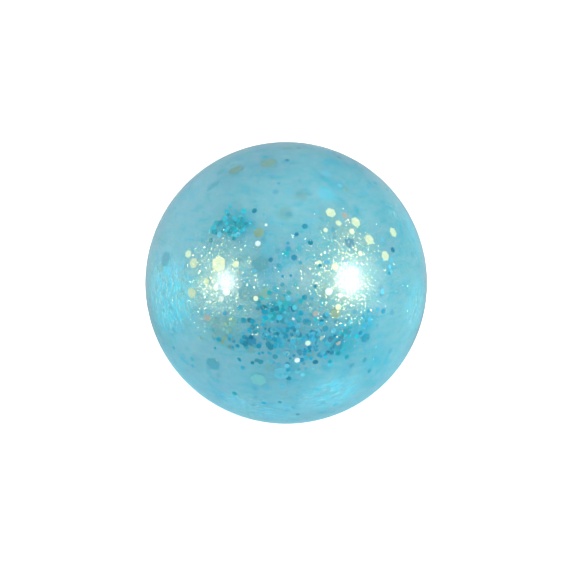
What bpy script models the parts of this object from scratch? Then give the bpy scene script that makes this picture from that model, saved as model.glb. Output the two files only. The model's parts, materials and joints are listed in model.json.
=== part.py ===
"""Squishy ball: a clear rubber skin with a plugged fill port, full of gel and glitter flakes.

Metres, +Z up, front towards -Y. The origin is the middle of the flat foot that the soft ball
settles on.
"""

import math
import random

import bmesh
import bpy
from mathutils import Quaternion, Vector

MM = 0.001

# The skin
BALL_DIAMETER = 65.0 * MM
SKIN_WALL = 2.0 * MM
FOOT_RIM = 2.6 * MM  # flat ring that the ball rests on, round the plug's recess
BOSS_RISE = 1.9 * MM  # how far the boss round the port stands into the ball
BOSS_WALL = 1.4 * MM  # rubber round the plug's recess

# The plug in the fill port, and the ring of adhesive round its head
PLUG_HEAD_DIAMETER = 8.0 * MM
PLUG_HEAD_THICKNESS = 1.2 * MM
PLUG_INSET = 0.4 * MM  # from the foot up to the plug's face
PLUG_STEM_DIAMETER = 5.0 * MM
PLUG_BARB_DIAMETER = 7.0 * MM
PLUG_BARB_LENGTH = 1.5 * MM
PLUG_TIP_DIAMETER = 4.0 * MM
SEAL_WIDTH = 0.8 * MM
SEAL_BULGE = 0.2 * MM  # how far the bead of adhesive is domed

# The glitter, hexagons measured across their flats
LARGE_FLAKE = 3.0 * MM
MEDIUM_FLAKE = 2.0 * MM
FLAKE_THICKNESS = 0.1 * MM

# Room between pieces that touch on the real ball
CLEARANCE = 0.3 * MM

# Flakes that show from the front: how far right and up of the ball's middle, seen from VIEW_TILT above
VIEW_TILT = math.radians(15.0)
FRONT_LARGE = (
    (-13.9 * MM, 3.9 * MM),
    (-5.1 * MM, 3.9 * MM),
    (-8.3 * MM, -2.1 * MM),
    (-1.0 * MM, -18.7 * MM),
    (-5.8 * MM, -20.1 * MM),
    (-15.3 * MM, -16.9 * MM),
    (-10.6 * MM, 23.7 * MM),
    (-3.7 * MM, 25.1 * MM),
)
FRONT_MEDIUM = (
    (-19.2 * MM, 4.1 * MM),
    (-19.6 * MM, -2.1 * MM),
    (-4.2 * MM, -2.1 * MM),
    (-0.3 * MM, -4.0 * MM),
    (-5.6 * MM, 10.3 * MM),
    (13.1 * MM, 8.3 * MM),
    (17.2 * MM, 9.0 * MM),
    (20.6 * MM, 5.6 * MM),
    (22.4 * MM, 10.6 * MM),
    (14.4 * MM, 12.6 * MM),
    (9.2 * MM, 14.5 * MM),
    (10.1 * MM, -6.2 * MM),
    (5.5 * MM, -10.9 * MM),
    (10.8 * MM, -12.7 * MM),
    (16.5 * MM, -11.4 * MM),
    (-7.2 * MM, -12.0 * MM),
    (-11.2 * MM, -8.0 * MM),
)
LOOSE_LARGE = 6  # more flakes, scattered over the sides and the back
LOOSE_MEDIUM = 19
FRONT_SHARE = 0.55  # scattered flakes stay out of the front beyond this share of the way to it
SCATTER_SEED = 7

# Facets
AROUND = 48
ARC_STEPS = 24
SMALL_AROUND = 32
WELD = 0.001 * MM
SHARP_ANGLE = math.radians(35.0)

# Worked out from the sizes above: the port and its recess, from the inside out
PORT_RADIUS = PLUG_STEM_DIAMETER / 2 + CLEARANCE
SEAL_INNER = PLUG_HEAD_DIAMETER / 2 + CLEARANCE
SEAL_OUTER = SEAL_INNER + SEAL_WIDTH
RECESS_RADIUS = SEAL_OUTER + CLEARANCE
RECESS_DEPTH = PLUG_INSET + PLUG_HEAD_THICKNESS + CLEARANCE
BOSS_RADIUS = RECESS_RADIUS + BOSS_WALL
BOSS_TOP = SKIN_WALL + BOSS_RISE
BARB_SEAT = BOSS_TOP + CLEARANCE
BARB_TOP = BARB_SEAT + PLUG_BARB_LENGTH

# The ball's middle, and the layer between skin and gel that the glitter floats in
BALL_RADIUS = BALL_DIAMETER / 2
CENTRE_HEIGHT = math.sqrt(BALL_RADIUS**2 - (RECESS_RADIUS + FOOT_RIM) ** 2)
CAVITY_RADIUS = BALL_RADIUS - SKIN_WALL
CORNER = 1 / math.sqrt(3)  # a hexagon's corner radius for one unit across its flats
FACET_DIP = CAVITY_RADIUS * (1 - math.cos(math.pi / AROUND) * math.cos(math.pi / (2 * ARC_STEPS)))
FLAKE_RISE = (LARGE_FLAKE * CORNER) ** 2 / CAVITY_RADIUS
GEL_RADIUS = CAVITY_RADIUS - FACET_DIP - FLAKE_RISE - FLAKE_THICKNESS - 2 * CLEARANCE
FLAKE_RADIUS = GEL_RADIUS + CLEARANCE + FLAKE_THICKNESS / 2


def clear_scene():
    for obj in list(bpy.data.objects):
        bpy.data.objects.remove(obj, do_unlink=True)


def finish(name, colour, roughness, alpha=1.0):
    """A plain material in linear colour."""
    material = bpy.data.materials.new(name)
    material.use_nodes = True
    shader = material.node_tree.nodes["Principled BSDF"]
    shader.inputs["Base Color"].default_value = (*colour, 1.0)
    shader.inputs["Roughness"].default_value = roughness
    shader.inputs["Metallic"].default_value = 0.0
    shader.inputs["Alpha"].default_value = alpha
    return material


def mesh_from(bm, name, material):
    bmesh.ops.remove_doubles(bm, verts=bm.verts, dist=WELD)
    bmesh.ops.recalc_face_normals(bm, faces=bm.faces)
    mesh = bpy.data.meshes.new(name)
    bm.to_mesh(mesh)
    bm.free()
    mesh.materials.append(material)
    mesh.shade_smooth()
    mesh.set_sharp_from_angle(angle=SHARP_ANGLE)
    return mesh


def placed(name, mesh, parent=None, location=(0, 0, 0)):
    obj = bpy.data.objects.new(name, mesh)
    obj.parent = parent
    obj.location = location
    bpy.context.scene.collection.objects.link(obj)
    return obj


def turned(name, profile, material, steps, origin_height=0.0):
    """A mesh turned about Z from (radius, height) points along its section."""
    bm = bmesh.new()
    verts = [bm.verts.new((radius, 0, height - origin_height)) for radius, height in profile]
    edges = [bm.edges.new(ends) for ends in zip(verts, verts[1:])]
    bmesh.ops.spin(
        bm,
        geom=verts + edges,
        cent=(0, 0, 0),
        axis=(0, 0, 1),
        angle=2 * math.pi,
        steps=steps,
        use_merge=True,
    )
    return mesh_from(bm, name, material)


def bowl(radius, floor, end_radius):
    """A ball's section from its top pole down to end_radius, cut flat where it would pass the floor."""
    at_floor = math.acos(max(-1.0, (floor - CENTRE_HEIGHT) / radius))
    at_end = math.pi - math.asin(end_radius / radius)
    last = min(at_floor, at_end)
    angles = [last * step / ARC_STEPS for step in range(ARC_STEPS + 1)]
    points = [(radius * math.sin(a), CENTRE_HEIGHT + radius * math.cos(a)) for a in angles]
    points[0] = (0.0, CENTRE_HEIGHT + radius)
    if at_floor < at_end:
        points.append((end_radius, floor))
    return points


def make_skin():
    """The hollow ball, with the recess, port and boss for the plug under its foot."""
    outside = bowl(BALL_RADIUS, 0.0, RECESS_RADIUS)
    port = [
        (RECESS_RADIUS, RECESS_DEPTH),
        (PORT_RADIUS, RECESS_DEPTH),
        (PORT_RADIUS, BOSS_TOP),
        (BOSS_RADIUS, BOSS_TOP),
    ]
    inside = bowl(CAVITY_RADIUS, SKIN_WALL, BOSS_RADIUS)
    rubber = finish("clear_rubber", (0.20, 0.53, 0.63), 0.15, alpha=0.35)
    return placed("skin", turned("skin", outside + port + inside[::-1], rubber, AROUND))


def make_fill_plug(skin):
    """A turned plug: head in the recess, stem in the port, barb behind the boss."""
    head = PLUG_HEAD_DIAMETER / 2
    stem = PLUG_STEM_DIAMETER / 2
    head_top = PLUG_INSET + PLUG_HEAD_THICKNESS
    profile = [
        (0.0, BARB_TOP),
        (PLUG_TIP_DIAMETER / 2, BARB_TOP),
        (PLUG_BARB_DIAMETER / 2, BARB_SEAT),
        (stem, BARB_SEAT),
        (stem, head_top),
        (head, head_top),
        (head, PLUG_INSET),
        (0.0, PLUG_INSET),
    ]
    rubber = finish("plug_rubber", (0.32, 0.62, 0.70), 0.35)
    placed("fill_plug", turned("fill_plug", profile, rubber, SMALL_AROUND), skin)


def make_plug_seal(skin):
    """The bead of adhesive between the plug's head and the recess, domed on its open side."""
    top = RECESS_DEPTH - CLEARANCE
    middle = (SEAL_INNER + SEAL_OUTER) / 2
    profile = [
        (SEAL_OUTER, top),
        (SEAL_OUTER, PLUG_INSET + SEAL_BULGE),
        (middle, PLUG_INSET),
        (SEAL_INNER, PLUG_INSET + SEAL_BULGE),
        (SEAL_INNER, top),
        (SEAL_OUTER, top),
    ]
    adhesive = finish("cured_adhesive", (0.75, 0.80, 0.80), 0.20)
    placed("plug_seal", turned("plug_seal", profile, adhesive, SMALL_AROUND), skin)


def make_gel(skin):
    """The filling, hollowed underneath round the boss and the plug's barb."""
    barb_pocket = PLUG_BARB_DIAMETER / 2 + CLEARANCE
    boss_pocket = BOSS_RADIUS + CLEARANCE
    pocket = [
        (boss_pocket, BOSS_TOP + CLEARANCE),
        (barb_pocket, BOSS_TOP + CLEARANCE),
        (barb_pocket, BARB_TOP + CLEARANCE),
        (0.0, BARB_TOP + CLEARANCE),
    ]
    profile = bowl(GEL_RADIUS, SKIN_WALL + CLEARANCE, boss_pocket) + pocket
    tinted = finish("blue_gel", (0.16, 0.50, 0.60), 0.10, alpha=0.5)
    mesh = turned("gel", profile, tinted, AROUND, origin_height=CENTRE_HEIGHT)
    return placed("gel", mesh, skin, (0, 0, CENTRE_HEIGHT))


def flake_mesh(name, across_flats, material):
    bm = bmesh.new()
    bmesh.ops.create_cone(
        bm,
        cap_ends=True,
        segments=6,
        radius1=across_flats * CORNER,
        radius2=across_flats * CORNER,
        depth=FLAKE_THICKNESS,
    )
    return mesh_from(bm, name, material)


def front_point(right, up):
    """The point of the glitter's layer that shows at these distances from the ball's middle."""
    depth = math.sqrt(FLAKE_RADIUS**2 - right**2 - up**2)
    towards_viewer = Vector((0, -math.cos(VIEW_TILT), math.sin(VIEW_TILT)))
    upwards = Vector((0, math.sin(VIEW_TILT), math.cos(VIEW_TILT)))
    return Vector((right, 0, 0)) + up * upwards + depth * towards_viewer


def loose_point(across_flats, taken, draw):
    """A random point of the layer, off the front, clear of the plug and of the flakes in taken."""
    reach = across_flats * CORNER + CLEARANCE
    while True:
        way = Vector([draw.gauss(0, 1) for _ in range(3)]).normalized()
        point = way * FLAKE_RADIUS
        over_plug = point.z < 0 and point.to_2d().length < BOSS_RADIUS + CLEARANCE + reach
        crowded = any((point - other).length < reach + room for other, room in taken)
        if way.y > -FRONT_SHARE and not over_plug and not crowded:
            return point


def make_glitter(gel):
    """Every large and medium flake, lying flat under the skin and carried on the swirl's axis."""
    axis = bpy.data.objects.new("glitter_axis", None)
    axis.parent = gel
    bpy.context.scene.collection.objects.link(axis)
    film = finish("iridescent_film", (0.05, 0.45, 0.62), 0.25)
    draw = random.Random(SCATTER_SEED)
    taken = []
    sizes = (
        ("large_flake", LARGE_FLAKE, FRONT_LARGE, LOOSE_LARGE),
        ("medium_flake", MEDIUM_FLAKE, FRONT_MEDIUM, LOOSE_MEDIUM),
    )
    for name, across_flats, shown, _ in sizes:
        taken += [(front_point(*place), across_flats * CORNER + CLEARANCE) for place in shown]
    for name, across_flats, shown, loose in sizes:
        mesh = flake_mesh(name, across_flats, film)
        points = [front_point(*place) for place in shown]
        for _ in range(loose):
            points.append(loose_point(across_flats, taken, draw))
            taken.append((points[-1], across_flats * CORNER + CLEARANCE))
        for number, point in enumerate(points, start=1):
            flake = placed(f"{name}_{number:02d}", mesh, axis, point)
            turn = Quaternion((0, 0, 1), draw.uniform(0, math.pi / 3))
            flake.rotation_euler = (point.to_track_quat("Z", "Y") @ turn).to_euler()


def main():
    clear_scene()
    skin = make_skin()
    make_fill_plug(skin)
    make_plug_seal(skin)
    gel = make_gel(skin)
    make_glitter(gel)


main()
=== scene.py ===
"""Looks of a gel-filled squeeze ball, laid out as a Blender add-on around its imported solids.

Metres, +Z up, front towards -Y, as in the frame. Glitter that is too fine for solids is made here.
"""

import json
import math

import bpy
import numpy as np
from bpy.props import FloatProperty, FloatVectorProperty, IntProperty, PointerProperty
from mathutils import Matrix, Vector


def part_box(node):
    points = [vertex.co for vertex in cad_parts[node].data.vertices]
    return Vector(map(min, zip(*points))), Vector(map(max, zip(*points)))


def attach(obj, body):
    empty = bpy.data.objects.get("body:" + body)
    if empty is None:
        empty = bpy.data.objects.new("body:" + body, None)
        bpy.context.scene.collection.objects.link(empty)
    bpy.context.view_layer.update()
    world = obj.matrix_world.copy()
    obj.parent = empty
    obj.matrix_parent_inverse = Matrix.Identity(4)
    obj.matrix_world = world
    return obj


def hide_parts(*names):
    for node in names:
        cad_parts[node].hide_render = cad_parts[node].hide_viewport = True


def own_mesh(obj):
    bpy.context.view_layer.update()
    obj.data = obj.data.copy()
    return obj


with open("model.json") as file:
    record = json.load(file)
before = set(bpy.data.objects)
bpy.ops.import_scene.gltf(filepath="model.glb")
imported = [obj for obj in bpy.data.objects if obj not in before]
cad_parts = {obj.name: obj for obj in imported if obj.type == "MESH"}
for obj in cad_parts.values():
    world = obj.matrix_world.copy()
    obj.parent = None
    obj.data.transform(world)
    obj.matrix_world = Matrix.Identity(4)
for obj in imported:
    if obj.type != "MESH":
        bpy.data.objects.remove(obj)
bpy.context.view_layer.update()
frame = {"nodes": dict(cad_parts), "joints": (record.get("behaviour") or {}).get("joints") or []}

bl_info = {
    "name": "Gel squeeze ball",
    "version": (1, 0, 0),
    "blender": (4, 5, 0),
    "location": "3D View > Sidebar > Squeeze ball",
    "description": "A clear rubber ball full of blue gel and glitter, on a plain studio floor",
    "category": "Object",
}

MM = 0.001

# Sizes that the solids give
SKIN_LOW, SKIN_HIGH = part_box("skin")
GEL_LOW, GEL_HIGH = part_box("gel")
PLUG_LOW, PLUG_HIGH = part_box("fill_plug")
SEAL_LOW, SEAL_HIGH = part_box("plug_seal")
BALL_RADIUS = (SKIN_HIGH.x - SKIN_LOW.x) / 2
CENTRE = Vector((0.0, 0.0, SKIN_HIGH.z - BALL_RADIUS))
GEL_RADIUS = GEL_HIGH.z - CENTRE.z
GEL_FLOOR = GEL_LOW.z
LARGE_NODES = sorted(name for name in frame["nodes"] if name.startswith("large_flake"))
MEDIUM_NODES = sorted(name for name in frame["nodes"] if name.startswith("medium_flake"))

# The fill port under the foot, from the inside out
PORT_RADIUS = 2.8 * MM
RECESS_RADIUS = 5.4 * MM
RECESS_DEPTH = 1.9 * MM
BOSS_RADIUS = 6.8 * MM
BOSS_TOP = 3.9 * MM
PORT_ROUNDING = 0.15 * MM

# The plug in the port and the bead of adhesive round its head
PLUG_HEAD_TOP = 1.6 * MM
PLUG_STEM_RADIUS = 2.5 * MM
PLUG_BARB_RADIUS = 3.5 * MM
PLUG_BARB_SEAT = 4.2 * MM
PLUG_TIP_RADIUS = 2.0 * MM
PLUG_DIMPLE_RADIUS = 1.4 * MM
PLUG_DIMPLE_DEPTH = 0.35 * MM
PLUG_ROUNDING = 0.18 * MM
SEAL_INNER = 4.3 * MM
SEAL_ARC_STEPS = 10

# The hollows under the gel, round the boss and the plug's barb
BOSS_POCKET_RADIUS = 7.1 * MM
BOSS_POCKET_TOP = 4.2 * MM
BARB_POCKET_RADIUS = 3.8 * MM
BARB_POCKET_TOP = 6.0 * MM

RUBBER_IOR = 1.42  # how strongly the clear rubber bends light

# Facets of turned pieces
AROUND = 128
ARC_STEPS = 72
SMALL_AROUND = 64
ROUNDING_STEPS = 3
WELD = 0.001 * MM
SHARP_ANGLE = math.radians(35.0)

# Where the photograph was taken from, and the ball's circle in its picture
VIEW_TILT = math.radians(15.0)
TO_VIEWER = Vector((0.0, -math.cos(VIEW_TILT), math.sin(VIEW_TILT)))
TO_RIGHT = Vector((1.0, 0.0, 0.0))
UPWARDS = Vector((0.0, math.sin(VIEW_TILT), math.cos(VIEW_TILT)))
PICTURE_SIDE = 573
CIRCLE_MIDDLE = (286.2, 282.9)
CIRCLE_RADIUS = 141.07
LENS = 85.0
SENSOR = 36.0

# Gatherings of small flakes that show from the front: right, up and reach in mm, how many flakes,
# and the film that most of them are cut from
FRONT_GATHERINGS = (
    (-9.8, 12.0, 1.5, 60, "turquoise"),
    (-12.2, 12.0, 2.0, 36, "turquoise"),
    (-0.6, -5.0, 2.2, 42, "teal"),
    (2.4, -10.6, 4.0, 104, "sea"),
    (-4.8, -10.4, 3.4, 70, "sea"),
    (5.0, -13.4, 2.8, 42, "blue"),
    (11.6, -12.2, 2.4, 26, "turquoise"),
    (16.6, -8.0, 2.0, 16, "azure"),
    (-13.2, -10.4, 2.0, 14, "olive"),
    (-10.6, -13.0, 2.4, 14, "sea"),
    (-1.0, 3.0, 4.5, 12, "blue"),
    (4.0, 9.0, 6.0, 8, "sea"),
    (15.0, -17.5, 3.0, 6, "faded"),
    (1.0, -18.5, 3.6, 18, "faded"),
    (-2.0, -26.0, 5.0, 4, "faded"),
    (-22.0, -12.0, 4.0, 6, "faded"),
    (22.0, 5.0, 4.0, 8, "sky"),
)
FADE = 0.5  # how far the most faded small flakes go towards the gel's own blue
SMALL_SCALES = (0.45, 1.05)  # least and most of the small flakes' size
SMALL_BRIGHTNESS = (0.62, 1.25)  # least and most of their colour's brightness
GATHERED_SHARE = 0.8  # of the flakes in a gathering, how many are of its own film
# Gatherings elsewhere: degrees round from the front and up from level, with one reach in mm
OTHER_GATHERINGS = (
    (102, -30), (112, 10), (142, -34), (180, -4), (215, -24), (248, 8), (260, -34),
    (170, -66), (122, -62), (238, -60), (120, 46), (205, 42),
)
OTHER_REACH = 9.0
SMALL_LEAST = 0.012  # how thick loose small flakes lie outside the gatherings, where 1 is thickest
# Where the finest flakes lie thickest at the front: right, up and reach in mm
FINE_GATHERINGS = ((-14.5, -0.5, 9.0), (11.5, -0.5, 8.5), (13.5, 7.5, 6.0))
# Where they gather at the sides: degrees round from the front and up from level
FINE_SIDES = ((70, 8), (-68, 8), (114, 6), (-114, 6))
FINE_AT_SIDES = 0.28  # how thick they lie there, where 1 is thickest
FINE_ELSEWHERE = 0.09  # in the gatherings elsewhere
FINE_LEAST = 0.02  # and outside all gatherings
FINE_PIECES = 6  # sectors round the ball, so that no piece is too heavy
SMALL_LIFTS = (0.15, 0.6)  # least and most height of the small flakes over the gel, in mm
FINE_LIFTS = (0.1, 0.65)  # and of the finest
FINE_SCALES = (0.65, 1.35)  # least and most of the finest flakes' size
FINE_THINNESS = 3  # how many times thinner the finest film is
FLAKE_CHAMFER = 0.3  # of a flake's thickness, on its edges
UNDERSIDE = -0.93  # no loose glitter lies lower than this share of the radius, over the port

# Single small flakes placed one by one: right, up and across their flats in mm, and their film
# The white flakes are painted glints, and those beside the lamp highlights are painted highlight; the straw
# ones are painted glints of lamp light off the film
SINGLE_FLAKES = (
    (-5.9, 8.2, 1.1, "white"), (2.3, -16.2, 1.1, "white"), (-4.2, 12.2, 0.6, "white"),
    (1.5, -7.4, 0.6, "white"), (-12.4, -1.9, 1.4, "white"), (-14.8, -1.0, 1.3, "white"),
    (-13.6, -3.3, 1.2, "white"), (8.8, -1.8, 1.5, "white"), (11.2, -2.6, 1.0, "white"),
    (-6.3, -3.2, 1.0, "painted_glint_straw"), (-15.2, -16.8, 1.0, "painted_glint_straw"), (13.8, 10.8, 1.2, "painted_glint_straw"),
    (6.9, 4.1, 1.2, "painted_glint_straw"), (10.2, 3.4, 1.4, "painted_glint_straw"), (11.0, 12.6, 1.2, "painted_glint_straw"),
    (-10.6, 3.9, 1.3, "painted_glint_straw"), (-21.0, 6.2, 1.5, "painted_glint_straw"), (-16.8, 0.3, 1.3, "painted_glint_straw"),
    (10.8, -5.0, 1.2, "painted_glint_straw"), (15.5, 6.2, 1.0, "painted_glint_straw"), (8.2, 11.0, 0.9, "painted_glint_straw"),
    (12.4, 14.3, 1.2, "rose"), (-16.6, -7.4, 1.3, "rose"), (-12.9, -6.5, 1.0, "rose"),
    (10.9, -12.6, 1.0, "rose"), (6.0, -6.3, 1.1, "rose"), (-4.3, -2.2, 1.0, "rose"),
)

# How the colours of the film are shared out among loose flakes
SMALL_SHARES = {
    # the straw share is flakes in the colour of a painted glint
    "blue": 0.28, "sea": 0.26, "teal": 0.20, "olive": 0.05, "painted_glint_straw": 0.02, "sky": 0.07, "faded": 0.12,
}
SOLID_SHARES = {"faded": 0.45, "sky": 0.25, "teal": 0.2, "olive": 0.1}
FINE_SHARES = {"gold_grain": 0.4, "white_grain": 0.35, "green_grain": 0.25}
# and the colours of the solids' flakes at the front, in the order of their numbers
# straw here marks flakes by the lamp highlights, coloured as a painted glint
LARGE_COLOURS = ("painted_glint_straw", "slate", "slate", "sky", "mint", "faded", "moss", "moss")
MEDIUM_COLOURS = (
    "painted_glint_straw", "painted_glint_straw", "moss", "teal", "olive", "blue", "painted_glint_straw", "painted_glint_straw", "painted_glint_straw",
    "painted_glint_straw", "painted_glint_straw", "olive", "blue", "sea", "sea", "blue", "moss",
)

# Soft spots in the gel, which are flakes too deep to be sharp: cells per metre, share of cells that
# hold one, the two colours, and how strongly they show
SOFT_SPOTS = (
    (260.0, 0.25, (0.30, 0.48, 0.30), (0.13, 0.60, 0.76), 0.5),
    (420.0, 0.30, (0.03, 0.42, 0.58), (0.25, 0.61, 0.73), 0.5),
)
# Places in the gel that differ from the rest: right, up and reach in mm, how strongly they show, their
# colour, and whether they are drawn out in streaks or finer glints round the rim, broken into clouds
# or left as soft spots. The streaks and glints are painted caustic light and painted glints; the rest is
# the gel's own colour
GEL_PLACES = (
    (-10.4, 12.2, 4.6, 0.9, "gel_deep", "spot"),
    (-0.5, -5.8, 4.0, 0.9, "gel_deep", "clouds"),
    (2.0, -11.5, 8.0, 0.6, "gel_deep", "clouds"),
    (11.5, -12.5, 6.5, 0.9, "gel_deep", "spot"),
    (17.0, -8.5, 4.5, 0.9, "gel_deep", "spot"),
    (1.5, -19.0, 6.0, 0.6, "gel_deep", "clouds"),
    (20.0, -19.0, 8.0, 0.5, "gel_deep", "clouds"),
    (-13.5, -10.5, 4.5, 0.7, "gel_olive", "clouds"),
    (1.5, 3.0, 9.0, 0.7, "gel_haze", "clouds"),
    (-26.5, -3.0, 12.0, 1.0, "gel_cyan_and_painted_caustic", "streaks"),
    (29.3, 11.0, 9.0, 0.6, "gel_cyan_and_painted_caustic", "streaks"),
    (29.5, -5.0, 9.0, 0.6, "gel_cyan_and_painted_caustic", "streaks"),
    (10.0, -24.8, 8.5, 0.8, "gel_cyan_and_painted_caustic", "streaks"),
    (-2.0, -28.8, 8.0, 0.5, "gel_cyan_and_painted_caustic", "streaks"),
    (-11.0, -26.5, 5.0, 0.5, "gel_cyan_and_painted_caustic", "streaks"),
    (-19.0, -18.0, 11.0, 0.8, "gel_haze", "clouds"),
    (-26.6, -3.0, 11.0, 1.0, "gel_painted_glint", "glints"),
    (24.5, 15.6, 5.0, 0.7, "gel_painted_glint", "glints"),
    (29.0, -5.4, 6.0, 0.9, "gel_painted_glint", "glints"),
    (9.0, -25.0, 8.0, 0.6, "gel_painted_glint", "glints"),
    (-9.0, -27.5, 9.0, 0.6, "gel_painted_glint", "glints"),
    (8.7, 19.1, 2.8, 0.7, "gel_cyan_and_painted_caustic", "spot"),
    (8.7, 23.8, 1.5, 0.6, "gel_cyan_and_painted_caustic", "spot"),
    (3.2, 18.6, 2.2, 0.5, "moss", "spot"),
    (-0.3, 14.7, 2.4, 0.5, "moss", "spot"),
    (-14.5, 24.5, 1.6, 0.6, "teal", "spot"),
)
PLACE_CORE = 0.3  # share of its reach over which a place shows in full
SPOT_SPLIT = 0.6  # share of the soft spots that take the second of their colours
LAYERING = (0.35, 0.35, 1.0)  # wisps in the gel lie level, so they are drawn out sideways
PAINTED_CAUSTIC_GLOW = 0.22  # how brightly the painted caustic light glows in the streaks and glints, where lamp light that the ball gathers would show
STREAK_STRETCH = 3.0  # how much longer than wide the streaks are
GEL_MILK = 0.62  # share of the light that the pearl in the gel stops at its surface

# The round lamps: degrees right of the view and up from it, and their shares of width and brightness
LAMPS = ((-46.9, 1.6, 1.0, 0.65), (49.5, 2.7, 1.25, 0.79))
# and the discs of light in each, from its hot middle out: width, and share of the brightness
LAMP_DISCS = ((0.08, 0.25), (0.12, 0.15), (0.16, 0.13), (0.20, 0.20), (0.25, 0.07), (0.31, 0.02))
LAMP_DISTANCE = 0.6  # of a lamp's front disc from the ball's middle
LAMP_GAP = 0.01  # from each disc back to the next
FLOOR_SIDE = 8.0
FLOOR_DROP = 0.2 * MM  # of the floor under the foot, so that their faces don't share a plane
FLOOR_BLUE = (0.035, 0.075)  # where the ball's blue light on the floor starts to fade, and where it ends
FLOOR_BEHIND = (0.0, 0.15)  # where the floor behind the ball takes on the light of the room there
CLEAR_FACES = 64  # how many faces of clear film light can pass, so that glitter over glitter isn't black

# The squeeze flattens everything by the same share of its height
SQUEEZE = next(joint for joint in frame["joints"] if joint["name"] == "squeeze")
SQUEEZE_KEEP = 1 - max(SQUEEZE["range_m"]) / CENTRE.z


def length(name, description, default):
    return FloatProperty(
        name=name, description=description, default=default, min=0.0, unit="LENGTH", precision=5
    )


def colour(name, description, default):
    return FloatVectorProperty(
        name=name, description=description, default=default, size=3, min=0.0, max=1.0, subtype="COLOR"
    )


class BallSizes(bpy.types.PropertyGroup):
    """Sizes and counts that a user would change."""

    wall: length("Skin wall", "Thickness of the rubber skin", 2.0 * MM)
    film: length("Film", "Thickness of the glitter film", 0.05 * MM)
    small_flake: length("Small flakes", "Small flakes, across their flats", 1.15 * MM)
    fine_flake: length("Fine flakes", "Finest flakes, across their flats", 0.22 * MM)
    small_count: IntProperty(name="Small flakes", description="How many small flakes", default=900, min=0)
    fine_count: IntProperty(name="Fine flakes", description="How many fine flakes", default=28000, min=0)
    small_lean: FloatProperty(
        name="Small lean", description="How far small flakes lean", default=0.10, subtype="ANGLE"
    )
    fine_lean: FloatProperty(
        name="Fine lean", description="How far fine flakes lean", default=0.19, subtype="ANGLE"
    )
    seed: IntProperty(name="Seed", description="Start of the random draws", default=5)


class BallColours(bpy.types.PropertyGroup):
    """Colours of the rubber, the gel, the adhesive and the glitter film, with painted caustic light and
    glints among them.
    """

    rubber: colour("Rubber", "Tint of the clear skin", (0.93, 0.99, 1.0))
    plug: colour("Plug", "Rubber of the fill plug", (0.32, 0.62, 0.70))
    adhesive: colour("Adhesive", "Cured bead round the plug", (0.75, 0.82, 0.84))
    gel_blue: colour("Gel blue", "Clearer, bluer gel", (0.19, 0.61, 0.69))
    gel_pearl: colour("Gel pearl", "Gel that is clouded with pearl", (0.30, 0.65, 0.72))
    gel_haze: colour("Gel haze", "Palest wisps in the gel", (0.40, 0.665, 0.745))
    # painted caustic light in the streaks round the rim, and the gel's own cyan in two soft spots
    gel_cyan_and_painted_caustic: colour("Gel bright", "Bright wisps round the sides", (0.13, 0.80, 1.0))
    # painted glints round the rim
    gel_painted_glint: colour("Gel gleam", "Whitest glints round the sides", (0.60, 0.96, 1.0))
    gel_deep: colour("Gel deep", "Deep teal clouds in the gel", (0.0, 0.57, 0.72))
    gel_olive: colour("Gel olive", "Brownish clouds in the gel", (0.24, 0.47, 0.40))
    blue: colour("Blue film", "Darkest glitter", (0.0, 0.25, 0.43))
    sea: colour("Sea film", "Sea-blue glitter", (0.0, 0.33, 0.48))
    teal: colour("Teal film", "Teal glitter", (0.0, 0.42, 0.48))
    olive: colour("Olive film", "Olive glitter", (0.26, 0.42, 0.28))
    # painted glint: the pale yellow that the film turns back from the lamps, put in as colour
    painted_glint_straw: colour("Straw film", "Pale yellow glitter", (0.86, 0.92, 0.60))
    turquoise: colour("Turquoise film", "Brightest blue-green glitter", (0.0, 0.46, 0.56))
    azure: colour("Azure film", "Bright blue glitter", (0.0, 0.36, 0.58))
    sky: colour("Sky film", "Light cyan glitter", (0.13, 0.59, 0.73))
    faded: colour("Faded film", "Glitter that lies deeper", (0.10, 0.46, 0.57))
    slate: colour("Slate film", "Grey-teal glitter", (0.08, 0.37, 0.44))
    mint: colour("Mint film", "Pale green glitter", (0.22, 0.62, 0.62))
    moss: colour("Moss film", "Soft olive glitter", (0.20, 0.45, 0.38))
    rose: colour("Rose film", "Rose-brown glitter", (0.50, 0.42, 0.34))
    # painted glint, and beside the lamp highlights painted highlight
    white: colour("White film", "White glints", (0.92, 0.96, 0.94))
    gold_grain: colour("Gold grain", "Finest glitter, in its reflection", (1.0, 0.74, 0.22))
    white_grain: colour("White grain", "Paler fine glitter, in its reflection", (1.0, 0.90, 0.52))
    green_grain: colour("Green grain", "Greener fine glitter, in its reflection", (0.84, 0.95, 0.42))


class StudioLight(bpy.types.PropertyGroup):
    """Strengths of the stage's lights."""

    lamp: FloatProperty(name="Lamps", description="Brightness of both round lamps", default=38.5, min=0.0)
    front: FloatProperty(name="Front", description="Brightness of the room in front", default=0.40, min=0.0)
    top: FloatProperty(name="Top", description="Brightness of the room above", default=0.74, min=0.0)
    left: colour("Left", "Light of the room on the left", (0.74, 0.89, 0.97))
    right: colour("Right", "Light of the room on the right", (0.22, 0.26, 0.28))
    behind: colour("Behind", "Light of the room behind", (0.50, 0.575, 0.61))
    rim: colour("Rim", "Light straight behind, which the rim gives back", (0.26, 0.25, 0.30))
    under: colour("Under", "Blue light on the floor by the ball", (0.42, 0.75, 0.86))
    ground: colour("Ground", "Light that the floor gives back", (0.29, 0.36, 0.40))


def unit(vectors):
    return vectors / np.linalg.norm(vectors, axis=-1, keepdims=True)


def front_way(right, up):
    """The direction from the ball's middle to what shows this far right and up of it, in mm,
    by the way that the rubber bends a view of the gel.
    """
    off = math.hypot(right, up) * MM
    outside, inside = math.asin(off / BALL_RADIUS), math.asin(off / BALL_RADIUS / RUBBER_IOR)
    angle = outside - inside + math.asin(off / GEL_RADIUS / RUBBER_IOR)
    aside = (TO_RIGHT * right + UPWARDS * up).normalized()
    return np.array(aside * math.sin(angle) + TO_VIEWER * math.cos(angle))


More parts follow.
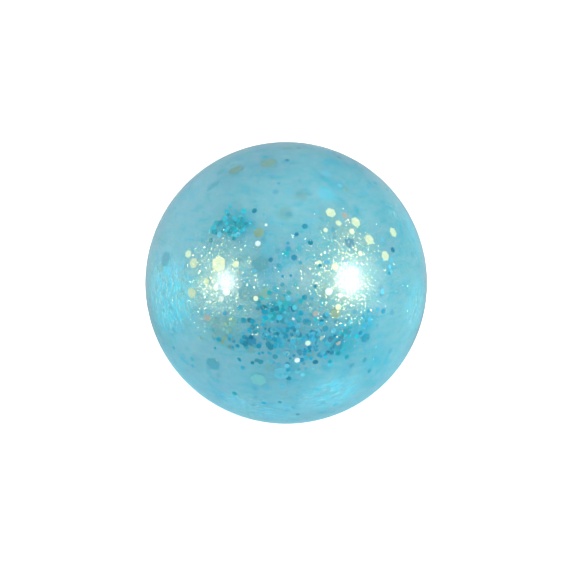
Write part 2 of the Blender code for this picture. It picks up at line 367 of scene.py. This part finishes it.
class Wire:
    """A socket of a node tree, so that shader maths is written as plain sums."""

    def __init__(self, tree, socket=None):
        self.tree = tree
        self.socket = socket

    def node(self, kind, settings=None, sockets=None, output=0):
        """Adds a node: its settings first, then the values or links of its sockets, by name or number."""
        made = self.tree.nodes.new(kind)
        for key, value in (settings or {}).items():
            setattr(made, key, value)
        for key, value in (sockets or {}).items():
            socket = made.inputs[key]
            if isinstance(value, Wire):
                self.tree.links.new(value.socket, socket)
            elif socket.type == "RGBA":
                socket.default_value = (*value, 1.0)
            else:
                socket.default_value = value
        return Wire(self.tree, made.outputs[output] if made.outputs else None)

    def maths(self, operation, first, second):
        return self.node("ShaderNodeMath", {"operation": operation}, {0: first, 1: second})

    def __mul__(self, other):
        return self.maths("MULTIPLY", self, other)

    def __sub__(self, other):
        return self.maths("SUBTRACT", self, other)

    def __rsub__(self, other):
        return self.maths("SUBTRACT", other, self)

    def __lt__(self, other):
        return self.maths("LESS_THAN", self, other)

    def __gt__(self, other):
        return self.maths("GREATER_THAN", self, other)

    __rmul__ = __mul__

    def vector(self, operation, first, second=None, output=0, **sockets):
        """A sum on vectors."""
        sockets = {0: first, **({} if second is None else {1: second}), **sockets}
        return self.node("ShaderNodeVectorMath", {"operation": operation}, sockets, output)

    def ramp(self, start, end, low=0.0, high=1.0):
        """A soft step from low to high as this value goes from start to end."""
        return self.node(
            "ShaderNodeMapRange",
            {"interpolation_type": "SMOOTHSTEP"},
            {"Value": self, "From Min": start, "From Max": end, "To Min": low, "To Max": high},
        )

    def between(self, low, high):
        """A colour that goes from low to high with this value."""
        return self.node("ShaderNodeMix", {"data_type": "RGBA"}, {0: self, 6: low, 7: high}, output=2)

    def noise(self, scale, detail=2.0, roughness=0.5, distortion=0.0):
        """Cloudy noise at this place, from 0 to 1."""
        sockets = {"Scale": scale, "Detail": detail, "Roughness": roughness, "Distortion": distortion}
        return self.node("ShaderNodeTexNoise", None, {"Vector": self, **sockets})


def new_finish(name):
    """An empty material, and the object's own places that its patterns are drawn on."""
    made = bpy.data.materials.new(name)
    made.use_nodes = True
    made.node_tree.nodes.clear()
    place = Wire(made.node_tree).node("ShaderNodeTexCoord", output="Object")
    return made, place


def wear(place, shader):
    """Puts the shader on the material's surface."""
    place.node("ShaderNodeOutputMaterial", None, {"Surface": shader})


def clear_rubber(colours):
    """The skin's outside: clear, slightly hazy rubber that lamps shine through."""
    made, place = new_finish("clear_rubber")
    smudge = place.noise(90.0, detail=3.0)
    dents = place.node(
        "ShaderNodeBump", None, {"Strength": 0.12, "Distance": 0.2 * MM, "Height": place.noise(140.0)}
    )
    rubber = place.node(
        "ShaderNodeBsdfPrincipled",
        None,
        {
            "Base Color": smudge.ramp(0.4, 0.7).between(colours.rubber, (0.90, 0.97, 0.99)),
            "Roughness": smudge.ramp(0.3, 0.7, 0.12, 0.16),
            "Transmission Weight": 1.0,
            "IOR": RUBBER_IOR,
            "Normal": dents,
        },
    )
    lamp_light = place.node("ShaderNodeLightPath", output="Is Shadow Ray")
    passed = place.node("ShaderNodeBsdfTransparent", None, {"Color": (0.94, 0.985, 1.0)})
    wear(place, place.node("ShaderNodeMixShader", None, {0: lamp_light, 1: rubber, 2: passed}))
    return made


def wetted_rubber():
    """The skin's inside, which vanishes where gel wets it but for a faint bloom."""
    made, place = new_finish("wetted_rubber")
    bloom = place.noise(60.0, detail=4.0).ramp(0.45, 0.8, 0.0, 0.03)
    haze = place.node(
        "ShaderNodeBsdfPrincipled", None, {"Base Color": (0.55, 0.72, 0.78), "Roughness": 0.6}
    )
    clear = place.node("ShaderNodeBsdfTransparent", None, {"Color": (1.0, 1.0, 1.0)})
    wear(place, place.node("ShaderNodeMixShader", None, {0: bloom, 1: clear, 2: haze}))
    return made


def plug_rubber(colours):
    """Satin moulded rubber with a fine grain."""
    made, place = new_finish("plug_rubber")
    cloud = place.noise(500.0, detail=3.0)
    grain = place.node(
        "ShaderNodeBump", None, {"Strength": 0.25, "Distance": 0.05 * MM, "Height": place.noise(6000.0)}
    )
    wear(place, place.node(
        "ShaderNodeBsdfPrincipled",
        None,
        {
            "Base Color": cloud.ramp(0.3, 0.7).between(colours.plug, (0.26, 0.56, 0.66)),
            "Roughness": cloud.ramp(0.3, 0.7, 0.34, 0.48),
            "Subsurface Weight": 0.3,
            "Subsurface Radius": (0.4, 0.8, 1.0),
            "Subsurface Scale": 2.0 * MM,
            "Normal": grain,
        },
    ))
    return made


def cured_adhesive(colours):
    """Glossy cured adhesive with trapped specks."""
    made, place = new_finish("cured_adhesive")
    specks = place.node("ShaderNodeTexVoronoi", None, {"Vector": place, "Scale": 2200.0}, output="Distance")
    ripple = place.node(
        "ShaderNodeBump", None, {"Strength": 0.3, "Distance": 0.1 * MM, "Height": place.noise(900.0)}
    )
    wear(place, place.node(
        "ShaderNodeBsdfPrincipled",
        None,
        {
            "Base Color": specks.ramp(0.08, 0.2).between((0.95, 0.97, 0.97), colours.adhesive),
            "Roughness": 0.14,
            "Coat Weight": 0.4,
            "Normal": ripple,
        },
    ))
    return made


def blue_gel(colours):
    """Pearly blue gel, clouded with teal and with soft spots of glitter that lies deeper, and with painted
    caustic light and glints round the rim, which glow.
    """
    made, place = new_finish("blue_gel")
    body = place.noise(70.0, detail=3.0).ramp(0.35, 0.65).between(colours.gel_blue, colours.gel_pearl)
    layers = place.vector("MULTIPLY", place, LAYERING).noise(800.0, detail=4.0, roughness=0.65)
    body = layers.ramp(0.45, 0.75, 0.0, 0.6).between(body, colours.gel_haze)
    body = layers.ramp(0.3, 0.5, 0.5, 0.0).between(body, colours.gel_deep)
    clouds = place.noise(95.0, detail=4.0, roughness=0.6, distortion=0.3).ramp(0.56, 0.72, 0.0, 0.85)
    body = clouds.between(body, colours.gel_deep)
    depth = place.vector("DOT_PRODUCT", place, TO_VIEWER, output="Value")
    stretch = place.vector("SCALE", TO_VIEWER, Scale=depth * (STREAK_STRETCH - 1))
    drawn_out = place.vector("ADD", place, stretch)
    patterns = {
        "streaks": drawn_out.noise(420.0, detail=5.0, roughness=0.7, distortion=0.3).ramp(0.36, 0.60),
        "glints": drawn_out.noise(900.0, detail=3.0, roughness=0.6).ramp(0.52, 0.66),
        "clouds": place.noise(330.0, detail=4.0, roughness=0.6).ramp(0.34, 0.58),
        "spot": 1.0,
    }
    # painted caustic light: the streaks and glints also glow, by emission
    glow = (0.0, 0.0, 0.0)
    for right, up, reach, strength, name, pattern in GEL_PLACES:
        middle = CENTRE + GEL_RADIUS * Vector(front_way(right, up))
        away = place.vector("DISTANCE", place, middle, output="Value")
        mask = away.ramp(PLACE_CORE * reach * MM, reach * MM, strength, 0.0) * patterns[pattern]
        body = mask.between(body, getattr(colours, name))
        if pattern in ("streaks", "glints"):
            glow = mask.between(glow, getattr(colours, name))
    for cells, share, first, second, strength in SOFT_SPOTS:
        cell = {"Vector": place, "Scale": cells}
        edge = place.node("ShaderNodeTexVoronoi", None, cell, output="Distance").ramp(0.15, 0.42, 1.0, 0.0)
        drawn = place.node("ShaderNodeTexVoronoi", None, cell, output="Color")
        holds, picks = (
            drawn.node("ShaderNodeSeparateColor", None, {"Color": drawn}, output=n) for n in (0, 1)
        )
        spot = (picks > SPOT_SPLIT).between(second, first)
        body = (edge * (holds < share) * strength).between(body, spot)
    pearl = place.node(
        "ShaderNodeBsdfPrincipled",
        None,
        {
            "Base Color": body,
            "Roughness": 0.33,
            "IOR": 1.68,
            "Specular Tint": (1.0, 0.96, 0.72),
            "Subsurface Weight": 1.0,
            "Subsurface Radius": (0.25, 0.7, 1.0),
            "Subsurface Scale": 35.0 * MM,
            "Emission Color": glow,
            "Emission Strength": PAINTED_CAUSTIC_GLOW,
        },
    )
    clear = place.node("ShaderNodeBsdfTransparent", None, {"Color": (0.75, 0.95, 1.0)})
    wear(place, place.node("ShaderNodeMixShader", None, {0: GEL_MILK, 1: clear, 2: pearl}))
    return made


def glitter_film(name, roughness, ior, alpha):
    """Iridescent film: its own colour through it, pale gold where it turns light back."""
    made, place = new_finish(name)
    own = place.node("ShaderNodeAttribute", {"attribute_name": "film"}, output="Color")
    shimmer = place.noise(900.0, detail=2.0).ramp(0.35, 0.7, 0.0, 0.10)
    wear(place, place.node(
        "ShaderNodeBsdfPrincipled",
        None,
        {
            "Base Color": shimmer.between(own, (0.05, 0.45, 0.55)),
            "Roughness": roughness,
            "IOR": ior,
            "Specular Tint": (1.0, 0.94, 0.70),
            "Alpha": alpha,
        },
    ))
    return made


def glint_film(name, roughness, share):
    """The finest film: clear but for the share of the light that it turns back, and without a shadow."""
    made, place = new_finish(name)
    own = place.node("ShaderNodeAttribute", {"attribute_name": "film"}, output="Color")
    mirror = place.node(
        "ShaderNodeBsdfPrincipled", None, {"Base Color": own, "Metallic": 1.0, "Roughness": roughness}
    )
    clear = place.node("ShaderNodeBsdfTransparent", None, {"Color": (0.985, 0.995, 1.0)})
    lamp_light = place.node("ShaderNodeLightPath", output="Is Shadow Ray")
    wear(place, place.node("ShaderNodeMixShader", None, {0: share * (1 - lamp_light), 1: clear, 2: mirror}))
    return made


def turned(name, outline, steps):
    """A closed solid spun about the ball's axis from (radius, height) points along its section."""
    bpy.ops.object.select_all(action="DESELECT")
    (radius, height), *_ = outline
    bpy.ops.mesh.primitive_plane_add(size=MM, location=(radius, 0.0, height))
    piece = bpy.context.object
    piece.name = piece.data.name = name
    bpy.ops.object.mode_set(mode="EDIT")
    bpy.ops.mesh.merge(type="CENTER")
    for here, there in zip(outline, outline[1:]):
        step = (there[0] - here[0], 0.0, there[1] - here[1])
        bpy.ops.mesh.extrude_vertices_move(TRANSFORM_OT_translate={"value": step})
    bpy.ops.mesh.select_all(action="SELECT")
    bpy.ops.mesh.spin(steps=steps, angle=2 * math.pi, center=(0.0, 0.0, 0.0), axis=(0.0, 0.0, 1.0))
    bpy.ops.mesh.select_all(action="SELECT")
    bpy.ops.mesh.remove_doubles(threshold=WELD)
    bpy.ops.mesh.normals_make_consistent(inside=False)
    bpy.ops.object.mode_set(mode="OBJECT")
    bpy.ops.object.transform_apply(location=True, rotation=True, scale=True)
    return piece


def rounded(piece, width):
    """Rounds the piece's sharp edges and shades its curves smooth."""
    bevel = piece.modifiers.new("rounding", "BEVEL")
    bevel.width = width
    bevel.segments = ROUNDING_STEPS
    bevel.limit_method = "ANGLE"
    bevel.angle_limit = SHARP_ANGLE
    bpy.ops.object.modifier_apply(modifier=bevel.name)
    bpy.ops.object.shade_smooth_by_angle(angle=SHARP_ANGLE)


def bowl(radius, floor, end_radius):
    """A ball's section from its top pole down to end_radius, cut flat where it would pass the floor."""
    at_floor = math.acos(max(-1.0, (floor - CENTRE.z) / radius))
    at_end = math.pi - math.asin(end_radius / radius)
    last = min(at_floor, at_end)
    angles = [last * step / ARC_STEPS for step in range(1, ARC_STEPS + 1)]
    points = [(radius * math.sin(angle), CENTRE.z + radius * math.cos(angle)) for angle in angles]
    points.insert(0, (0.0, CENTRE.z + radius))
    if at_floor < at_end:
        points.append((end_radius, floor))
    return points


def settle(piece, body, nodes=()):
    """Hands a finished piece to its body, in place of the solids it stands for, with a mesh of its own."""
    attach(piece, body)
    if nodes:
        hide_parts(*nodes)
    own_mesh(piece)


class BALL_OT_skin(bpy.types.Operator):
    """Turn the hollow rubber skin, with its foot, recess, port and boss"""

    bl_idname = "ball.skin"
    bl_label = "Skin"

    def execute(self, context):
        wall = context.scene.ball_sizes.wall
        port = [
            (RECESS_RADIUS, RECESS_DEPTH),
            (PORT_RADIUS, RECESS_DEPTH),
            (PORT_RADIUS, BOSS_TOP),
            (BOSS_RADIUS, BOSS_TOP),
        ]
        inside = bowl(BALL_RADIUS - wall, wall, BOSS_RADIUS)
        outline = bowl(BALL_RADIUS, SKIN_LOW.z, RECESS_RADIUS) + port + inside[::-1]
        skin = turned("ball_skin", outline, AROUND)
        rounded(skin, PORT_ROUNDING)
        skin.data.materials.append(clear_rubber(context.scene.ball_colours))
        skin.data.materials.append(wetted_rubber())
        for face in skin.data.polygons:
            inner = (face.center - CENTRE).length < BALL_RADIUS - wall / 2
            in_port = face.center.to_2d().length < RECESS_RADIUS + WELD and face.center.z < BOSS_TOP - WELD
            face.material_index = int(inner and not in_port)
        settle(skin, "skin", ["skin"])
        return {"FINISHED"}


class BALL_OT_plug(bpy.types.Operator):
    """Turn the fill plug: dimpled head, stem and barb"""

    bl_idname = "ball.plug"
    bl_label = "Fill plug"

    def execute(self, context):
        head = PLUG_HIGH.x
        outline = [
            (0.0, PLUG_HIGH.z),
            (PLUG_TIP_RADIUS, PLUG_HIGH.z),
            (PLUG_BARB_RADIUS, PLUG_BARB_SEAT),
            (PLUG_STEM_RADIUS, PLUG_BARB_SEAT),
            (PLUG_STEM_RADIUS, PLUG_HEAD_TOP),
            (head, PLUG_HEAD_TOP),
            (head, PLUG_LOW.z),
            (PLUG_DIMPLE_RADIUS, PLUG_LOW.z),
            (PLUG_DIMPLE_RADIUS / 2, PLUG_LOW.z + PLUG_DIMPLE_DEPTH),
            (0.0, PLUG_LOW.z + PLUG_DIMPLE_DEPTH),
        ]
        plug = turned("port_plug", outline, SMALL_AROUND)
        rounded(plug, PLUG_ROUNDING)
        plug.data.materials.append(plug_rubber(context.scene.ball_colours))
        settle(plug, "skin", ["fill_plug"])
        return {"FINISHED"}


class BALL_OT_seal(bpy.types.Operator):
    """Turn the domed bead of adhesive round the plug's head"""

    bl_idname = "ball.seal"
    bl_label = "Seal bead"

    def execute(self, context):
        middle = (SEAL_INNER + SEAL_HIGH.x) / 2
        half_width = SEAL_HIGH.x - middle
        dome = (SEAL_HIGH.z - SEAL_LOW.z) / 2
        arc = [math.pi * step / SEAL_ARC_STEPS for step in range(SEAL_ARC_STEPS + 1)]
        outline = [(SEAL_HIGH.x, SEAL_HIGH.z)]
        outline += [
            (middle + half_width * math.cos(a), SEAL_LOW.z + dome * (1 - math.sin(a))) for a in arc
        ]
        outline += [(SEAL_INNER, SEAL_HIGH.z), (SEAL_HIGH.x, SEAL_HIGH.z)]
        seal = turned("seal_bead", outline, SMALL_AROUND)
        rounded(seal, PLUG_ROUNDING)
        seal.data.materials.append(cured_adhesive(context.scene.ball_colours))
        settle(seal, "skin", ["plug_seal"])
        return {"FINISHED"}


class BALL_OT_gel(bpy.types.Operator):
    """Turn the gel, hollowed underneath round the boss and the plug's barb"""

    bl_idname = "ball.gel"
    bl_label = "Gel"

    def execute(self, context):
        pocket = [
            (BOSS_POCKET_RADIUS, BOSS_POCKET_TOP),
            (BARB_POCKET_RADIUS, BOSS_POCKET_TOP),
            (BARB_POCKET_RADIUS, BARB_POCKET_TOP),
            (0.0, BARB_POCKET_TOP),
        ]
        gel = turned("gel_fill", bowl(GEL_RADIUS, GEL_FLOOR, BOSS_POCKET_RADIUS) + pocket, AROUND)
        rounded(gel, PORT_ROUNDING)
        gel.data.materials.append(blue_gel(context.scene.ball_colours))
        settle(gel, "gel", ["gel"])
        return {"FINISHED"}


def hexagon(across, thickness, chamfered):
    """The points and faces of one flake, flat at the origin with its corners from +Y round."""
    bpy.ops.object.select_all(action="DESELECT")
    bpy.ops.mesh.primitive_cylinder_add(vertices=6, radius=across / math.sqrt(3), depth=thickness)
    flake = bpy.context.object
    if chamfered:
        bpy.ops.object.mode_set(mode="EDIT")
        bpy.ops.mesh.bevel(offset=thickness * FLAKE_CHAMFER, segments=1, affect="EDGES")
        bpy.ops.object.mode_set(mode="OBJECT")
    points = np.array([point.co for point in flake.data.vertices])
    faces = [tuple(face.vertices) for face in flake.data.polygons]
    bpy.data.meshes.remove(flake.data)
    return points, faces


def strewn(name, shape, turns, places, film_colours, film):
    """One piece of many copies of a flake, each with its own turn, place and colour."""
    points, faces = shape
    spread = np.einsum("nij,pj->npi", turns, points) + places[:, None, :]
    firsts = len(points) * np.arange(len(places))
    mesh = bpy.data.meshes.new(name)
    mesh.from_pydata(
        spread.reshape(-1, 3).tolist(),
        [],
        [tuple(first + corner for corner in face) for first in firsts.tolist() for face in faces],
    )
    shades = np.ones((len(places), len(faces), 4), np.float32)
    shades[:, :, :3] = np.asarray(film_colours)[:, None, :]
    mesh.attributes.new("film", "FLOAT_COLOR", "FACE").data.foreach_set("color", shades.ravel())
    mesh.materials.append(film)
    piece = bpy.data.objects.new(name, mesh)
    bpy.context.scene.collection.objects.link(piece)
    return piece


def gathered_round(places, thickness):
    """Direction, reach in radians and thickness of gatherings placed in degrees round the ball."""
    for round_from_front, up_from_level in places:
        a, e = math.radians(round_from_front), math.radians(up_from_level)
        way = np.array((math.sin(a) * math.cos(e), -math.cos(a) * math.cos(e), math.sin(e)))
        yield way, OTHER_REACH * MM / BALL_RADIUS, thickness


def fine_gatherings():
    """The same of all the places where the finest flakes gather."""
    for right, up, reach in FINE_GATHERINGS:
        yield front_way(right, up), reach * MM / BALL_RADIUS, 1.0
    yield from gathered_round(FINE_SIDES, FINE_AT_SIDES)
    yield from gathered_round(OTHER_GATHERINGS, FINE_ELSEWHERE)


def scattered(count, gatherings, least, draw):
    """Random directions, thick in the gatherings and down to the least share elsewhere."""
    gatherings = list(gatherings)
    found = np.empty((0, 3))
    while len(found) < count:
        ways = unit(draw.normal(size=(count, 3)))
        chance = np.full(count, least)
        for middle, reach, thickness in gatherings:
            away = np.arccos(np.clip(ways @ middle, -1, 1)) / reach
            chance = np.maximum(chance, thickness * np.exp(-(away**2)))
        kept = (draw.random(count) < chance) & (ways[:, 2] > UNDERSIDE)
        found = np.concatenate([found, ways[kept]])
    return found[:count]


def turns_at(ways, lean, draw):
    """A turn for each direction: the flake faces along it, leans a little and is spun at random."""
    facing = unit(ways + draw.normal(scale=lean, size=ways.shape))
    across = draw.normal(size=ways.shape)
    across = unit(across - facing * (across * facing).sum(axis=1, keepdims=True))
    return np.stack([across, np.cross(facing, across), facing], axis=2)


def drawn_colours(colours, shares, count, draw):
    """A film colour for each of count flakes, drawn by these shares."""
    names = list(shares)
    picks = draw.choice(len(names), size=count, p=np.array(list(shares.values())) / sum(shares.values()))
    return np.array([getattr(colours, name)[:] for name in names])[picks]


def node_places(names):
    """The turn and place of each solid's flake, read from its corners."""
    turns, places = [], []
    for name in names:
        corners = np.array([point.co for point in frame["nodes"][name].data.vertices])
        place = (corners.min(axis=0) + corners.max(axis=0)) / 2
        _, _, axes = np.linalg.svd(corners - place, full_matrices=False)
        facing = axes[2] * math.copysign(1.0, axes[2] @ (place - np.array(CENTRE)))
        reach = corners - place
        reach -= np.outer(reach @ facing, facing)
        corner = unit(reach[np.argmax(np.linalg.norm(reach, axis=1))])
        turns.append(np.stack([np.cross(corner, facing), corner, facing], axis=1))
        places.append(place)
    return np.array(turns), np.array(places)


class BALL_OT_solid_flakes(bpy.types.Operator):
    """Cut the large and medium flakes where their solids lie"""

    bl_idname = "ball.solid_flakes"
    bl_label = "Large and medium glitter"

    def execute(self, context):
        colours = context.scene.ball_colours
        draw = np.random.default_rng(context.scene.ball_sizes.seed)
        film = glitter_film("cut_film", roughness=0.3, ior=1.8, alpha=0.85)
        groups = (
            ("large_glitter", LARGE_NODES, LARGE_COLOURS),
            ("medium_glitter", MEDIUM_NODES, MEDIUM_COLOURS),
        )
        for name, nodes, shown in groups:
            turns, places = node_places(nodes)
            corners = np.array([point.co for point in frame["nodes"][nodes[0]].data.vertices])
            flat = (corners - places[0]) @ turns[0]
            across, thickness = np.ptp(flat[:, 0]), np.ptp(flat[:, 2])
            front = [getattr(colours, shade)[:] for shade in shown]
            loose = drawn_colours(colours, SOLID_SHARES, len(nodes) - len(front), draw)
            shape = hexagon(across, thickness, chamfered=True)
            piece = strewn(name, shape, turns, places, np.concatenate([front, loose]), film)
            settle(piece, "glitter", nodes)
        return {"FINISHED"}


class BALL_OT_small_glitter(bpy.types.Operator):
    """Strew the small flakes, in gatherings under the skin"""

    bl_idname = "ball.small_glitter"
    bl_label = "Small glitter"

    def execute(self, context):
        sizes, colours = context.scene.ball_sizes, context.scene.ball_colours
        draw = np.random.default_rng(sizes.seed + 1)
        ways = [scattered(sizes.small_count, gathered_round(OTHER_GATHERINGS, 1.0), SMALL_LEAST, draw)]
        shades = [drawn_colours(colours, SMALL_SHARES, sizes.small_count, draw)]
        for right, up, reach, count, name in FRONT_GATHERINGS:
            strewn_by = draw.normal(scale=reach * MM / BALL_RADIUS, size=(count, 3))
            ways.append(unit(front_way(right, up) + strewn_by))
            own = draw.random((count, 1)) < GATHERED_SHARE
            others = drawn_colours(colours, SMALL_SHARES, count, draw)
            shades.append(np.where(own, getattr(colours, name)[:], others))
        ways, shades = np.concatenate(ways), np.concatenate(shades)
        scales = draw.uniform(*SMALL_SCALES, size=len(ways))
        fade = FADE * draw.random((len(ways), 1)) ** 2
        shades += fade * (np.array(colours.gel_blue) - shades)
        shades *= draw.uniform(*SMALL_BRIGHTNESS, size=(len(ways), 1))
        ways = np.concatenate([ways, [front_way(right, up) for right, up, *_ in SINGLE_FLAKES]])
        shades = np.concatenate([shades, [getattr(colours, name)[:] for *_, name in SINGLE_FLAKES]])
        singles = [across * MM / sizes.small_flake for _, _, across, _ in SINGLE_FLAKES]
        scales = np.concatenate([scales, singles])
        depth = GEL_RADIUS + draw.uniform(*SMALL_LIFTS, size=(len(ways), 1)) * MM
        film = glitter_film("small_film", roughness=0.3, ior=1.35, alpha=0.97)
        shape = hexagon(sizes.small_flake, sizes.film, chamfered=True)
        turns = turns_at(ways, sizes.small_lean, draw)
        turns *= scales[:, None, None]
        piece = strewn("small_glitter", shape, turns, ways * depth + np.array(CENTRE), shades, film)
        settle(piece, "glitter")
        return {"FINISHED"}


class BALL_OT_fine_glitter(bpy.types.Operator):
    """Strew the finest flakes all over the ball, in a piece for each sector round it"""

    bl_idname = "ball.fine_glitter"
    bl_label = "Fine glitter"

    def execute(self, context):
        sizes, colours = context.scene.ball_sizes, context.scene.ball_colours
        draw = np.random.default_rng(sizes.seed + 2)
        ways = scattered(sizes.fine_count, fine_gatherings(), FINE_LEAST, draw)
        shades = drawn_colours(colours, FINE_SHARES, len(ways), draw)
        turns = turns_at(ways, sizes.fine_lean, draw)
        turns *= draw.uniform(*FINE_SCALES, size=(len(ways), 1, 1))
        depth = GEL_RADIUS + draw.uniform(*FINE_LIFTS, size=(len(ways), 1)) * MM
        places = ways * depth + np.array(CENTRE)
        film = glint_film("fine_film", roughness=0.19, share=0.095)
        shape = hexagon(sizes.fine_flake, sizes.film / FINE_THINNESS, chamfered=False)
        turn_round = np.arctan2(ways[:, 0], -ways[:, 1]) / (2 * math.pi) % 1
        sectors = np.minimum(turn_round * FINE_PIECES, FINE_PIECES - 1).astype(int)
        for number in range(FINE_PIECES):
            part = sectors == number
            name = f"fine_glitter_{number + 1}"
            piece = strewn(name, shape, turns[part], places[part], shades[part], film)
            settle(piece, "glitter")
        return {"FINISHED"}


def studio_room(light):
    """Soft room light: dim in front and on the right, bright on the left and above, white to the camera.

    The ends of each ramp are cosines of the angle from the view, from the right or from straight up.
    """
    world = bpy.data.worlds.new("studio_room")
    bpy.context.scene.world = world
    world.use_nodes = True
    world.node_tree.nodes.clear()
    blank = Wire(world.node_tree)
    way = blank.node("ShaderNodeTexCoord", output="Generated")
    towards = way.vector("DOT_PRODUCT", way, TO_VIEWER, output="Value")
    height = way.node("ShaderNodeSeparateXYZ", None, {"Vector": way}, output="Z")
    shade = towards.ramp(-0.995, -0.96).between(light.rim, light.behind)
    aside = way.vector("DOT_PRODUCT", way, TO_RIGHT, output="Value")
    sides = aside.ramp(-0.7, 0.7).between(light.left, light.right)
    shade = towards.ramp(-0.85, -0.35).between(shade, sides)
    shade = height.ramp(0.35, 0.95).between(shade, (light.top,) * 3)
    shade = towards.ramp(0.2, 0.8).between(shade, (light.front,) * 3)
    seen = blank.node("ShaderNodeLightPath", output="Is Camera Ray")
    glow = blank.node("ShaderNodeBackground", None, {"Color": seen.between(shade, (1.0, 1.0, 1.0))})
    blank.node("ShaderNodeOutputWorld", None, {"Surface": glow})


def pale_floor(light):
    """A white floor to the camera, which lights the ball from below, bluest close by."""
    made, place = new_finish("pale_floor")
    paper = place.noise(25.0, detail=3.0).ramp(0.3, 0.7).between((0.90, 0.90, 0.90), (0.94, 0.94, 0.94))
    white = place.node(
        "ShaderNodeBsdfPrincipled",
        None,
        {
            "Base Color": paper,
            "Roughness": 0.6,
            "Emission Color": (1.0, 1.0, 1.0),
            "Emission Strength": 0.9,
        },
    )
    back = place.node("ShaderNodeSeparateXYZ", None, {"Vector": place}, output="Y")
    returned = back.ramp(*FLOOR_BEHIND).between(light.ground, light.behind)
    away = place.vector("LENGTH", place, output="Value")
    returned = away.ramp(*FLOOR_BLUE).between(light.under, returned)
    soft = place.node("ShaderNodeEmission", None, {"Color": returned})
    seen = place.node("ShaderNodeLightPath", output="Is Camera Ray")
    wear(place, place.node("ShaderNodeMixShader", None, {0: seen, 1: soft, 2: white}))
    return made


class BALL_OT_stage(bpy.types.Operator):
    """Set the pale floor, the studio lamps and the camera"""

    bl_idname = "ball.stage"
    bl_label = "Stage"

    def execute(self, context):
        scene, light = context.scene, context.scene.ball_light
        scene.view_settings.view_transform = "Standard"
        scene.cycles.transparent_max_bounces = CLEAR_FACES
        bpy.ops.object.select_all(action="DESELECT")
        bpy.ops.mesh.primitive_plane_add(size=FLOOR_SIDE, location=(0.0, 0.0, SKIN_LOW.z - FLOOR_DROP))
        floor = context.object
        floor.name = "floor"
        floor.data.materials.append(pale_floor(light))
        studio_room(light)
        for right, up, size, brightness in LAMPS:
            a, e = math.radians(right), math.radians(up)
            way = (TO_VIEWER * math.cos(a) + TO_RIGHT * math.sin(a)) * math.cos(e) + UPWARDS * math.sin(e)
            for behind, (width, share) in enumerate(LAMP_DISCS):
                away = LAMP_DISTANCE + behind * LAMP_GAP
                bpy.ops.object.light_add(type="AREA", location=CENTRE + way * away)
                lamp = context.object
                lamp.rotation_euler = way.to_track_quat("Z", "Y").to_euler()
                lamp.data.shape = "DISK"
                lamp.data.size = width * size
                lamp.data.energy = light.lamp * brightness * share * (math.pi * lamp.data.size / 2) ** 2
        self.place_camera(scene)
        return {"FINISHED"}

    def place_camera(self, scene):
        half_angle = math.atan(CIRCLE_RADIUS / (PICTURE_SIDE / 2) * (SENSOR / 2) / LENS)
        distance = BALL_RADIUS / math.sin(half_angle)
        turn = TO_VIEWER.to_track_quat("Z", "Y").to_euler()
        bpy.ops.object.camera_add(location=CENTRE + TO_VIEWER * distance, rotation=turn)
        camera = bpy.context.object
        camera.data.lens = LENS
        camera.data.sensor_width = SENSOR
        camera.data.clip_start = 10 * MM
        camera.data.shift_x = (PICTURE_SIDE / 2 - CIRCLE_MIDDLE[0]) / PICTURE_SIDE
        camera.data.shift_y = (CIRCLE_MIDDLE[1] - PICTURE_SIDE / 2) / PICTURE_SIDE
        scene.camera = camera


MAKERS = (
    BALL_OT_skin,
    BALL_OT_plug,
    BALL_OT_seal,
    BALL_OT_gel,
    BALL_OT_solid_flakes,
    BALL_OT_small_glitter,
    BALL_OT_fine_glitter,
    BALL_OT_stage,
)


class BALL_PT_panel(bpy.types.Panel):
    """Lists what makes the ball, and its sizes and colours"""

    bl_idname = "BALL_PT_panel"
    bl_label = "Squeeze ball"
    bl_space_type = "VIEW_3D"
    bl_region_type = "UI"
    bl_category = "Squeeze ball"

    def draw(self, context):
        for maker in MAKERS:
            self.layout.operator(maker.bl_idname)
        for group in (context.scene.ball_sizes, context.scene.ball_colours, context.scene.ball_light):
            box = self.layout.box()
            for name in group.__annotations__:
                box.prop(group, name)


GROUPS = {"ball_sizes": BallSizes, "ball_colours": BallColours, "ball_light": StudioLight}


def register():
    for made in (*GROUPS.values(), *MAKERS, BALL_PT_panel):
        bpy.utils.register_class(made)
    for name, group in GROUPS.items():
        setattr(bpy.types.Scene, name, PointerProperty(type=group))


def unregister():
    for name in GROUPS:
        delattr(bpy.types.Scene, name)
    for made in (BALL_PT_panel, *reversed(MAKERS), *reversed(GROUPS.values())):
        bpy.utils.unregister_class(made)


def main():
    register()
    bpy.ops.ball.skin()
    bpy.ops.ball.plug()
    bpy.ops.ball.seal()
    bpy.ops.ball.gel()
    bpy.ops.ball.solid_flakes()
    bpy.ops.ball.small_glitter()
    bpy.ops.ball.fine_glitter()
    bpy.ops.ball.stage()


if __name__ == "__main__":
    main()
